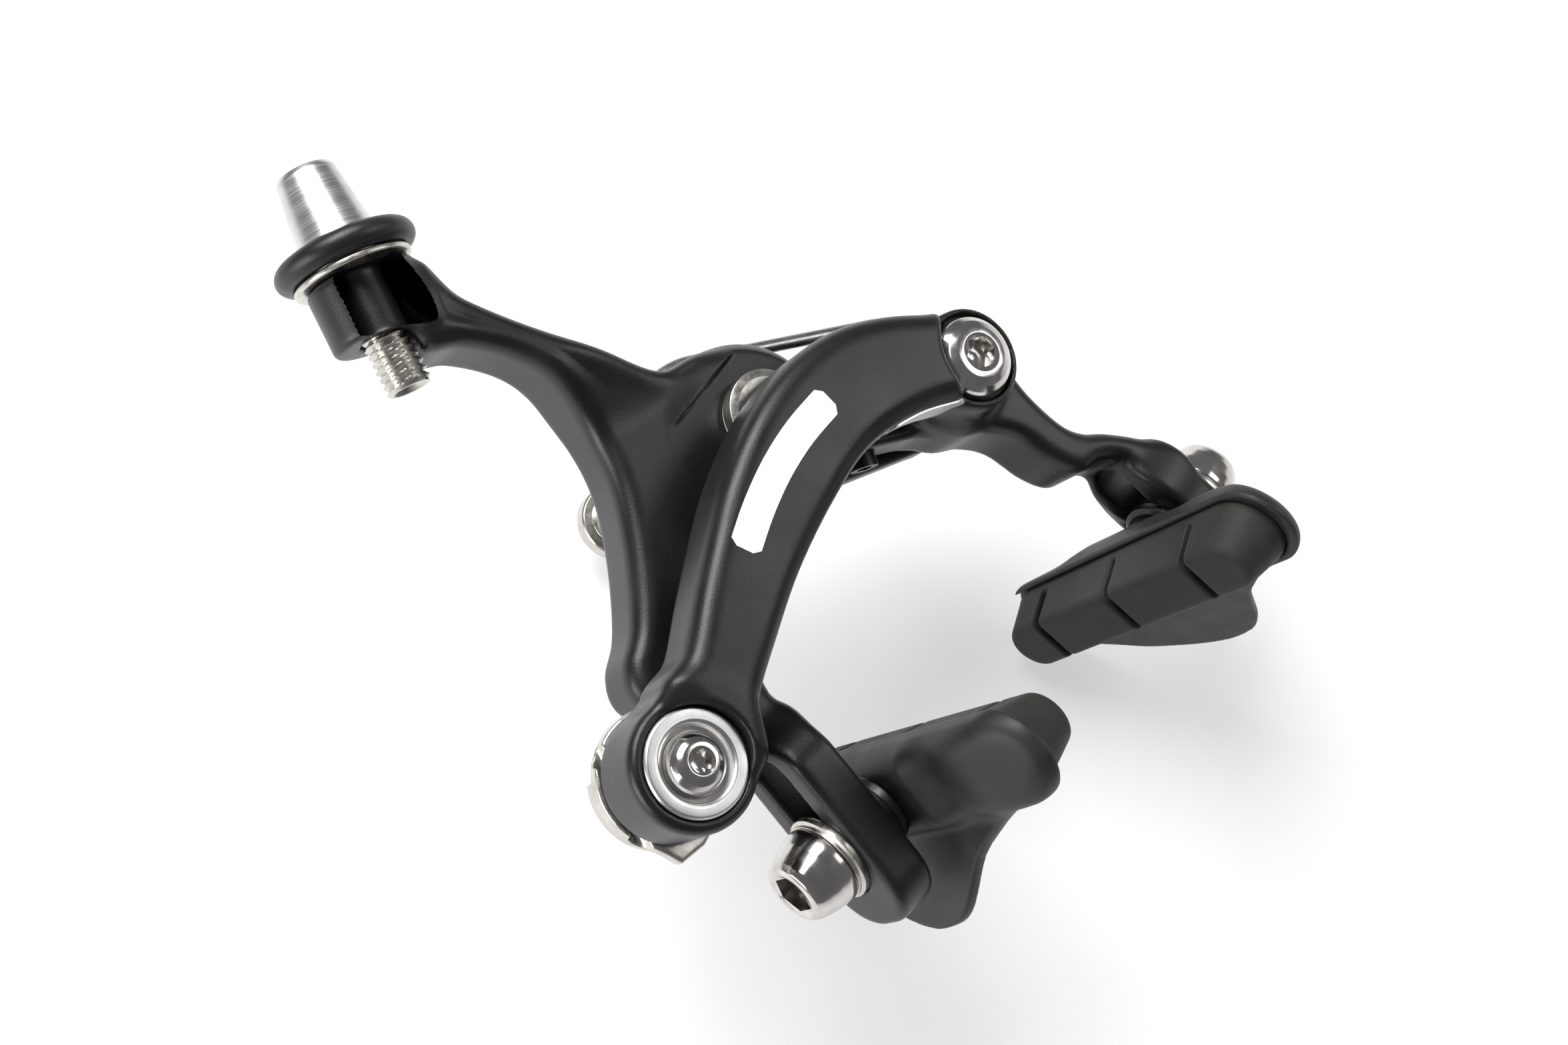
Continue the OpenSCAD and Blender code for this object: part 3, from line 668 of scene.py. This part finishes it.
def shoe_holder():
    """Boat shaped holder with a flared wing, in a shoe's own frame."""
    f = Field((3.0, -33.5, -22.5), (13.4, 31.5, 8.0), 0.3)
    y = f.y + 1
    stadium_y = np.maximum(np.abs(y) - 24.5, 0)
    outline = np.sqrt(stadium_y**2 + f.z**2) - 6.5
    # The back swells towards the bolt and towards the front end
    swell = 3.5 * np.exp(-((f.y / 11.0) ** 4)) + 2.1 * np.exp(-(((f.y + 20.5) / 7.5) ** 2))
    swell = np.minimum(swell + 1.1 * (1 - (y / 31.0) ** 2), 3.55)
    back = 9.85 - swell
    hull = carve(outline + 0.22 * np.maximum(9.85 - f.x, 0), -(back - f.x), 3.2)
    hull = carve(hull, -(f.x - 12.25), 0.5)
    wing_tilt = math.radians(WING_TILT)
    across = (f.x - 11.65) * math.cos(wing_tilt) - (f.z + 5.1) * math.sin(wing_tilt)
    down = (f.x - 11.65) * math.sin(wing_tilt) + (f.z + 5.1) * math.cos(wing_tilt)
    profile = curve([
        (-20, 0.5), (24, 0.5), (20.5, -8), (13.5, -12.5), (7, -14.9), (2, -15.2), (-3, -13.6),
        (-10, -7),
    ])
    wing = polygon_distance(profile, f.y, down)
    wing = carve(wing, -(np.abs(across + 0.9) - 0.9), 0.6)
    body = join(hull, wing, 1.6)
    channel_y = np.maximum(np.abs(y) - 23.5, 0)
    channel = np.sqrt(channel_y**2 + f.z**2) - 5.5
    open_end = np.maximum(np.abs(f.z) - 5.5, -f.y)
    channel = np.maximum(np.minimum(channel, open_end), 11.05 - f.x)
    body = carve(body, channel, 0.25)
    bolt = np.maximum(np.sqrt(f.y**2 + f.z**2) - 3.04, f.x - 9.85)
    body = carve(body, bolt, 0.3)
    body = np.maximum(body, np.where(np.sqrt(f.y**2 + f.z**2) < 8, 6.27 - f.x, -9))
    return surface(f, body)


def shoe_rubber():
    """Tapered rubber with three wear grooves that run up its flanks, in a shoe's own frame."""
    f = Field((10.6, -31.2, -6.4), (20.0, 29.2, 6.4), 0.28)
    y = f.y + 1
    lean = 0.26 * np.maximum(f.x - 12.9, 0)
    end = np.maximum(np.abs(y) - 23.45, 0)
    body = np.sqrt(end**2 + f.z**2) - 5.45 + lean
    body = carve(body, -(np.maximum(11.05 - f.x, f.x - 19.5)), 1.1)
    lip = np.maximum(np.sqrt(end**2 + f.z**2) - 5.45, np.maximum(11.05 - f.x, f.x - 13.2))
    body = np.minimum(body, lip)
    for place in (-18, 0, 18):
        groove = np.maximum(np.abs(y - place) - 0.6, 13.6 - f.x)
        groove = np.maximum(groove, -body - 1.9)
        body = carve(body, groove, 0.35)
    return surface(f, body)


def shoe_piece(made, side, pitch, kind, slot):
    """One moulded piece of a shoe, put in place with its toe turned by pitch degrees."""
    verts, quads = made
    node = f"{side}_pad_{kind}"
    place = shoe_place(side) @ Matrix.Rotation(math.radians(pitch), 4, "X")
    name = f"{side}_{kind}_moulded"
    fix_normals(piece(name, placed(place, verts), quads.tolist(), slot, node, node, sharp=180))


def shoe_bolts(side):
    """Bolt, flange washer and ball washers that hold a shoe in its slot."""
    place = shoe_place(side)
    x, z = place.to_3x3() @ Vector((1, 0, 0)), place.to_3x3() @ Vector((0, 0, 1))
    out = axes(place.translation, z, -x)
    body = side + "_shoe_mount"
    bolt = [
        (0, -9.8), (3, -9.8), (3, 4.75), (5.3, 4.75), (5.68, 5.1), (5.66, 5.9), (5.45, 7.4),
        (5.05, 9.0), (4.65, 10.1), (4.15, 10.8), (3.7, 11.03), (3.15, 11.05), (2.89, 10.75, 5),
        (2.89, 7.05, 5), (1.2, 6.9), (0, 6.4),
    ]
    turned(side + "_shoe_bolt", bolt, out, "polished_steel", body, side + "_pad_bolt", segments=120)
    flange = [(M6_HOLE, 3.25), (6.2, 3.25), (6.2, 4.15), (5.75, 4.3), (5.7, 4.75), (M6_HOLE, 4.75)]
    turned(side + "_shoe_flange", flange, out, "satin_steel", body, side + "_flange_washer")
    inner = [(M6_HOLE, -3.25), (M6_HOLE, -4.75), (5.2, -4.75), (6.0, -4.3), (6.0, -3.25)]
    turned(side + "_shoe_dish", inner, out, "dark_steel", body, side + "_ball_washers")
    outer = [(M6_HOLE, -4.75), (M6_HOLE, -6.25), (4.9, -6.25), (5.0, -5.9), (4.8, -4.75)]
    turned(side + "_shoe_ball", outer, out, "dark_steel", body, side + "_ball_washers")


def screws():
    """Turned parts of the two pivots and the cable anchor, (r, depth towards the front)."""
    bolt = [
        (0, 23.85), (4.6, 24), (5.7, 23.75), (5.7, 21.55), (3, 21.5), (3, 0), (2.95, -0.3),
        (2.95, -10), (2.9, -10.2), (2.9, -25.4), (2.4, -26), (0, -26),
    ]
    turned("centre_bolt_turned", bolt, front(CENTRE, 0), "satin_steel", "mounting", "centre_bolt")
    nut = [
        (2.94, -10), (3.7, -10), (4, -10.3), (4, -30), (5.3, -30), (5.6, -30.3), (5.6, -32.6),
        (5.2, -33), (3.2, -33), (2.89, -32.7, 5), (2.89, -26.1, 5), (2.94, -26),
    ]
    turned("sleeve_nut_turned", nut, front(CENTRE, 0), "satin_steel", "mounting", "recessed_nut")
    for name, place, radius, low in (
        ("washer_front", CENTRE, 5.4, 20.72), ("washer_rear", CENTRE, 7.5, 10.02),
        ("washer_side", SIDE, 6.8, 10.02),
    ):
        ring = [(3.12, low), (radius, low), (radius, low + 0.76), (3.12, low + 0.76)]
        turned(name, ring, front(place, 0), "polymer_washer", "mounting", "thrust_washers")
    locknut = [(3.02, 2), (4.9, 2, 10), (5.6, 2.45, 10), (5.6, 4.55, 10), (4.9, 5, 10), (3.02, 5)]
    turned("locknut_turned", locknut, front(CENTRE, 0), "satin_steel", "mounting", "centre_locknut")
    screw = [
        (0, 5), (2.6, 5), (3, 5.4), (3, 28.6), (5.4, 28.6), (5.7, 28.9), (5.7, 29.7), (5.35, 30.35),
        (4.6, 31.05), (3.6, 31.55), (2.75, 31.7), (2.31, 31.45, 4), (2.31, 29.2, 4), (1, 29.0),
        (0, 28.6),
    ]
    side = front(SIDE, 0)
    turned("side_screw_turned", screw, side, "polished_steel", "mounting", "side_pivot_screw",
           segments=120)
    cup = [
        (3.2, 31.42), (6.35, 31.42), (6.68, 31.75), (6.68, 32.95), (6.35, 33.28), (5.05, 33.28),
        (4.75, 33.1), (3.95, 32.1), (3.2, 32.1),
    ]
    anchor = front(ANCHOR, 0)
    turned("cup_washer_turned", cup, anchor, "satin_aluminium", "front_arm", "cup_washer",
           segments=120)
    clamp_bolt = [
        (0, 13.5), (2.6, 13.5), (3, 13.9), (3, 32.12), (3.78, 32.12), (3.8, 32.75), (3.55, 33.4),
        (2.95, 34.05), (2.3, 34.4), (1.7, 34.48), (1.44, 34.25, 2.5), (1.44, 32.6, 2.5), (0, 32.1),
    ]
    turned("anchor_bolt_turned", clamp_bolt, anchor, "polished_steel", "anchor_bolt", "anchor_bolt")
    nut = [
        (M6_HOLE, 15.82), (5.0, 15.82, 10), (5.7, 16.3, 10), (5.7, 20.3, 10), (5.0, 20.78, 10),
        (M6_HOLE, 20.78),
    ]
    turned("anchor_nut_turned", nut, anchor, "satin_steel", "cable_clamp", "anchor_nut")


def thread(pitch, depth, low, high):
    """Change of radius of a screw thread between two heights."""

    def wave(angle, r, z):
        if r < 2 or not low <= z <= high:
            return 0
        turn = (z / pitch - angle / (2 * math.pi)) % 1
        return -depth * (1 - np.abs(2 * turn - 1)) ** 0.9

    return wave


def adjuster():
    """Barrel adjuster: threaded screw, washer, cap and rubber ring, (r, height)."""
    place = adjuster_place()
    body = [(1.1, -5.6), (2.2, -6.8), (2.6, -6.8)]
    body += [(3.0, z) for z in np.arange(-6.5, 1.0, 0.11)]
    body += [(3.0, 1.2), (3.0, 15.2), (1.1, 15.2)]
    turned("adjuster_screw_turned", body, place, "satin_steel", "adjuster_barrel", "adjuster_screw",
           round_r=0, wave=thread(1.0, 0.52, -6.5, 0.95))
    washer = [(3.1, 8.42), (7.4, 8.42), (7.6, 8.6), (7.6, 9.1), (7.4, 9.28), (3.1, 9.28)]
    turned("adjuster_washer_turned", washer, place, "satin_steel", "rear_arm", "adjuster_washer")
    cap = [
        (3.05, 9.32), (5.4, 9.32), (5.8, 9.7), (5.8, 12.3), (5.5, 12.7), (5.15, 12.75),
        (5.05, 13.0), (3.85, 21.9), (3.5, 22.5), (2.9, 22.5), (2.6, 22.2), (2.6, 16.7),
        (1.15, 16.4), (1.15, 15.4), (3.05, 15.3),
    ]
    turned("adjuster_cap_turned", cap, place, "satin_aluminium", "adjuster_cap", "adjuster_cap")
    ring_r, wire_r, height, sides = 7.5, 1.6, 11.0, 28
    angles = np.arange(sides) * 2 * math.pi / sides
    ring = [(ring_r + wire_r * math.cos(a), height + wire_r * math.sin(a)) for a in angles]
    turned("adjuster_ring_moulded", ring, place, "ring_rubber", "adjuster_cap", "adjuster_o_ring",
           round_r=0)


def clamp_plate():
    """Round plate with a lobe below, a thicker rim on its outer side, and the cable's groove."""
    f = Field((-57.2, -23.4, -27), (-37.6, -18.8, -7), 0.2)
    dx, dz = f.x - ANCHOR[0], f.z - ANCHOR[1]
    away = distance(f, ANCHOR)
    lobe = [(-55.2, -19.5), (-54.2, -25), (-50.5, -26), (-46, -25.4), (-44.5, -20)]
    lobe = polygon_distance(np.array(lobe), f.x, f.z)
    radius, rim_width, groove_r = 8.65, 2.25, 0.9
    outline = join(away - radius, lobe + 0.05, 0.8)
    body = carve(outline, -np.maximum(-22.98 - f.y, f.y + 20.82), 0.5)
    turn = math.radians(37)
    rim = np.maximum(away - radius, radius - rim_width - away)
    rim = np.maximum(rim, dx * math.cos(turn) + dz * math.sin(turn) + 1.0)
    rim = carve(rim, -np.maximum(-22.0 - f.y, f.y + 19.32), 0.5)
    body = join(body, rim, 0.3)
    lean = math.radians(LEAN)
    drop = (ADJUSTER[2] - ANCHOR[1]) / math.cos(lean)
    x0, z0 = ADJUSTER[0] - drop * math.sin(lean), ADJUSTER[2] - drop * math.cos(lean)
    side = (f.x - x0) * math.cos(lean) - (f.z - z0) * math.sin(lean)
    groove = np.maximum(np.abs(side) - groove_r, f.y + 22.1)
    groove = np.minimum(np.sqrt(side**2 + (f.y + 22.1) ** 2) - groove_r, groove)
    body = carve(body, groove, 0.3)
    body = carve(body, away - M6_HOLE, 0.2)
    cast("clamp_plate_pressed", f, body, "satin_steel", "cable_clamp", "cable_clamp_plate")


def bridge():
    """Tapered link between the two pivots, behind the arms, with the tension screw's hole."""
    f = Field((-11.8, -10.4, -25), (32.6, -4.6, 11.8), 0.28)
    run = math.hypot(*SIDE)
    t = np.clip((f.x * SIDE[0] + f.z * SIDE[1]) / run**2, 0, 1)
    away = np.sqrt((f.x - SIDE[0] * t) ** 2 + (f.z - SIDE[1] * t) ** 2)
    body = carve(away - 11.05 + 3.5 * t, -np.maximum(-9.98 - f.y, f.y + 5.02), 1.2)
    for pivot in (CENTRE, SIDE):
        body = carve(body, distance(f, pivot) - 3.05, 0.3)
    lean = math.atan2(SIDE[0], -SIDE[1])
    origin = (SIDE[0] * 0.62, SPRING_Y, SIDE[1] * 0.62)
    height, off = f.along(origin, (math.cos(lean), 0, math.sin(lean)))
    body = carve(body, np.maximum(off - 2.04, -height), 0.3)
    cast("bridge_forged", f, body, "black_paint", "mounting", "pivot_bridge")


def tube(name, points, radius, slot, body, node, sides=16):
    """Round wire through points."""
    p = np.array(points, float)
    tangent = np.gradient(p, axis=0)
    tangent /= np.linalg.norm(tangent, axis=1)[:, None]
    normal = np.cross(tangent[0], (0, 1, 0.01))
    normal /= np.linalg.norm(normal)
    verts = []
    for q, t in zip(p, tangent):
        normal = normal - t * np.dot(normal, t)
        normal /= np.linalg.norm(normal)
        other = np.cross(t, normal)
        for i in range(sides):
            a = 2 * math.pi * i / sides
            verts.append(q + radius * (math.cos(a) * normal + math.sin(a) * other))
    faces = []
    for j in range(len(p) - 1):
        for i in range(sides):
            n = (i + 1) % sides
            faces.append((j * sides + i, j * sides + n, (j + 1) * sides + n, (j + 1) * sides + i))
    faces.append(tuple(range(sides)))
    faces.append(tuple(len(verts) - sides + i for i in range(sides)))
    fix_normals(piece(name, verts, faces, slot, body, node, sharp=50))


def spring():
    """Wire from the right seat over the centre pivot to the left seat, with bent over ends."""
    y, end_y = SPRING_Y, -10.4
    sweep = np.radians(np.linspace(55.5, 190, 25))
    arc = [(12.4 * math.cos(a), y, 12.4 * math.sin(a)) for a in sweep]
    corners = [(32, end_y, -29), (32, y, -29), (33.5, y, -8)] + arc
    corners += [(-27.5, y, -15.5), (-27.5, end_y, -15.5)]
    corners = [np.array(c, float) for c in corners]
    path = [corners[0]]
    for before, here, after in zip(corners, corners[1:], corners[2:]):
        la, lc = np.linalg.norm(before - here), np.linalg.norm(after - here)
        cut = min(2.2, la * 0.45, lc * 0.45)
        a, b = here + (before - here) / la * cut, here + (after - here) / lc * cut
        for t in (0, 0.2, 0.4, 0.6, 0.8, 1):
            path.append(a * (1 - t) ** 2 + here * 2 * t * (1 - t) + b * t * t)
    path.append(corners[-1])
    tube("spring_wire", path, 0.98, "spring_steel", "mounting", "return_spring")


def run_along(line):
    """Distance covered along a line up to each of its points."""
    return np.concatenate([[0], np.cumsum(np.linalg.norm(np.diff(line, axis=0), axis=1))])


def directions(x, z):
    """Unit directions along a line in the front view."""
    tangent = np.stack([np.gradient(x), np.gradient(z)], 1)
    return tangent / np.linalg.norm(tangent, axis=1)[:, None]


def strip():
    """Plain pale strip along the front arm, with nothing on it."""
    line = np.array([(-23.4, -6.0), (-18, -4.3), (-12, -3.1), (-6, -2.7), (0.4, -3.2)])
    half_width, corner, above, below = 2.1, 0.8, 0.03, -0.15
    fine = np.linspace(0, len(line) - 1, 33)
    x, z = (np.interp(fine, np.arange(len(line)), line[:, k]) for k in (0, 1))
    for _ in range(6):
        x[1:-1], z[1:-1] = (x[:-2] + x[2:]) / 2, (z[:-2] + z[2:]) / 2
    tangent = directions(x, z)
    normal = np.stack([-tangent[:, 1], tangent[:, 0]], 1)
    spot = np.stack([x, z], 1)
    run = run_along(spot)
    end = np.minimum(run, run[-1] - run)
    round_end = 1 - np.clip(1 - end / corner, 0, 1) ** 2
    half = (half_width * np.sqrt(np.clip(round_end, 0.3, 1)))[:, None]
    rim = np.concatenate([spot + normal * half, (spot - normal * half)[::-1]])
    verts = [(u, BAND_FRONT - lift, v) for lift in (above, below) for u, v in rim]
    count = len(rim)
    faces = [tuple(range(count)), tuple(range(count, 2 * count))]
    faces += [(i, (i + 1) % count, count + (i + 1) % count, count + i) for i in range(count)]
    fix_normals(piece("plain_strip", verts, faces, "satin_aluminium", "front_arm", None, sharp=30))


def label():
    """Blank plate on the underside of the front arm, following its surface."""
    # The stretch of the band's outline below, between the two pivots
    line = BAND[71:83]
    middle_y, half_width, corner, above, below = -29.3, 3.0, 2.2, 0.16, -0.2
    run = run_along(line)
    grid_u, grid_v = 24, 8
    u = np.linspace(0.3, run[-1] - 0.5, grid_u)
    x, z = (np.interp(u, run, line[:, k]) for k in (0, 1))
    tangent = directions(x, z)
    out = np.stack([tangent[:, 1], -tangent[:, 0]], 1)
    if out[0, 1] > 0:
        out = -out
    verts, faces = [], []
    for lift in (above, below):
        for i in range(grid_u):
            end = min(u[i] - u[0], u[-1] - u[i])
            half = half_width * math.sqrt(max(1 - max(1 - end / corner, 0) ** 2, 0.12))
            for j in range(grid_v):
                y = middle_y + half * (2 * j / (grid_v - 1) - 1)
                verts.append((x[i] + out[i, 0] * lift, y, z[i] + out[i, 1] * lift))
    sheet = grid_u * grid_v
    for base in (0, sheet):
        for i in range(grid_u - 1):
            for j in range(grid_v - 1):
                a = base + i * grid_v + j
                quad = (a, a + 1, a + grid_v + 1, a + grid_v)
                faces.append(quad if base == 0 else quad[::-1])
    last = grid_v - 1
    rim = [i * grid_v for i in range(grid_u)]
    rim += [(grid_u - 1) * grid_v + j for j in range(1, grid_v)]
    rim += [i * grid_v + last for i in range(grid_u - 2, -1, -1)] + list(range(grid_v - 2, 0, -1))
    for a, b in zip(rim, rim[1:] + rim[:1]):
        faces.append((b, a, a + sheet, b + sheet))
    name = "blank_label_plate"
    fix_normals(piece(name, verts, faces, "satin_aluminium", "front_arm", "blank_label", sharp=40))


rear_arm()
front_arm()
HOLDER, RUBBER = shoe_holder(), shoe_rubber()
for side, pitch in (("left", 2), ("right", -1)):
    shoe_bolts(side)
    shoe_piece(HOLDER, side, pitch, "holder", "holder_black")
    shoe_piece(RUBBER, side, pitch, "rubber", "pad_rubber")
screws()
adjuster()
clamp_plate()
bridge()
spring()
strip()
label()

for entry in frame["record"]["subparts"]:
    node = NODES[entry["node"]]
    node.data.materials.clear()
    node.data.materials.append(MATERIALS[entry["material_slot"]])

# ---- Camera, floor and light ----

CAMERA_MM = Vector((-134.9, -248.3, 35.4))
CAMERA_VIEW = (0.476, 0.862, -0.175)
CAMERA_UP = (0.709, -0.259, 0.656)


def aimed(obj, place, view, up):
    """Puts a camera or lamp at a place, looking along view with up upwards."""
    back = -Vector(view).normalized()
    x = Vector(up).cross(back).normalized()
    turn = Matrix((x, back.cross(x), back)).transposed().to_4x4()
    obj.matrix_world = Matrix.Translation(place * MM) @ turn


def camera():
    """Camera with its roll, as the caliper lies on its back."""
    data = bpy.data.cameras.new("camera")
    data.lens, data.sensor_width = 47.0, 36.0
    data.clip_start, data.clip_end = 0.01, 20
    obj = bpy.data.objects.new("camera", data)
    bpy.context.scene.collection.objects.link(obj)
    aimed(obj, CAMERA_MM, CAMERA_VIEW, CAMERA_UP)
    bpy.context.scene.camera = obj


def table_top():
    """Pale table that the caliper lies back on. It can't be seen from behind."""
    glow = {"Emission_Color": (1, 1, 1, 1), "Emission_Strength": 0.5}
    shader = Shader("table_top", (0.55, 0.55, 0.555), 0.5, **glow)
    cloud = shader.noise(0.02)
    shader.put(shader.main, "Roughness", shader.span(cloud, 0.4, 0.5))
    tree = shader.tree
    back = tree.nodes.new("ShaderNodeNewGeometry").outputs["Backfacing"]
    clear = tree.nodes.new("ShaderNodeBsdfTransparent")
    mix = tree.nodes.new("ShaderNodeMixShader")
    tree.links.new(back, mix.inputs[0])
    tree.links.new(shader.main.outputs[0], mix.inputs[1])
    tree.links.new(clear.outputs[0], mix.inputs[2])
    tree.links.new(mix.outputs[0], tree.nodes["Material Output"].inputs["Surface"])
    up = Vector((-0.14, -0.93, 0.34)).normalized()
    side = Vector((1, 0, 0))
    side = (side - up * side.dot(up)).normalized()
    other = up.cross(side)
    drop = -36.5 * MM
    reach = 3.0
    corners = ((-1, -1), (1, -1), (1, 1), (-1, 1))
    verts = [up * drop + side * reach * a + other * reach * b for a, b in corners]
    mesh = bpy.data.meshes.new("table_top")
    mesh.from_pydata([tuple(v) for v in verts], [], [(0, 1, 2, 3)])
    mesh.materials.append(shader.material)
    obj = bpy.data.objects.new("table_top", mesh)
    bpy.context.scene.collection.objects.link(obj)


def lamp(name, place, size, watts):
    """Soft rectangular lamp aimed at the origin."""
    data = bpy.data.lights.new(name, "AREA")
    data.shape = "RECTANGLE"
    data.size, data.size_y = (s * MM for s in size)
    data.energy = watts
    obj = bpy.data.objects.new(name, data)
    bpy.context.scene.collection.objects.link(obj)
    place = Vector(place)
    aimed(obj, place, -place, (0, 0.3, 1))


def studio():
    """Pale surroundings as seen directly, and a dim room in reflections and as fill light."""
    world = bpy.data.worlds.new("studio")
    bpy.context.scene.world = world
    world.use_nodes = True
    tree = world.node_tree
    dim = tree.nodes["Background"]
    dim.inputs["Color"].default_value = (1, 1, 1, 1)
    dim.inputs["Strength"].default_value = 0.16
    pale = tree.nodes.new("ShaderNodeBackground")
    pale.inputs["Color"].default_value = (0.97, 0.97, 0.975, 1)
    seen = tree.nodes.new("ShaderNodeLightPath").outputs["Is Camera Ray"]
    mix = tree.nodes.new("ShaderNodeMixShader")
    tree.links.new(seen, mix.inputs[0])
    tree.links.new(dim.outputs[0], mix.inputs[1])
    tree.links.new(pale.outputs[0], mix.inputs[2])
    tree.links.new(mix.outputs[0], tree.nodes["World Output"].inputs["Surface"])


camera()
table_top()
studio()
lamp("key", (25, -300, 336), (320, 240), 2.4)
lamp("window", (-430, -60, 150), (200, 320), 1.2)
lamp("fill", (260, -420, -120), (300, 200), 0.5)
bpy.context.scene.view_settings.view_transform = "Standard"
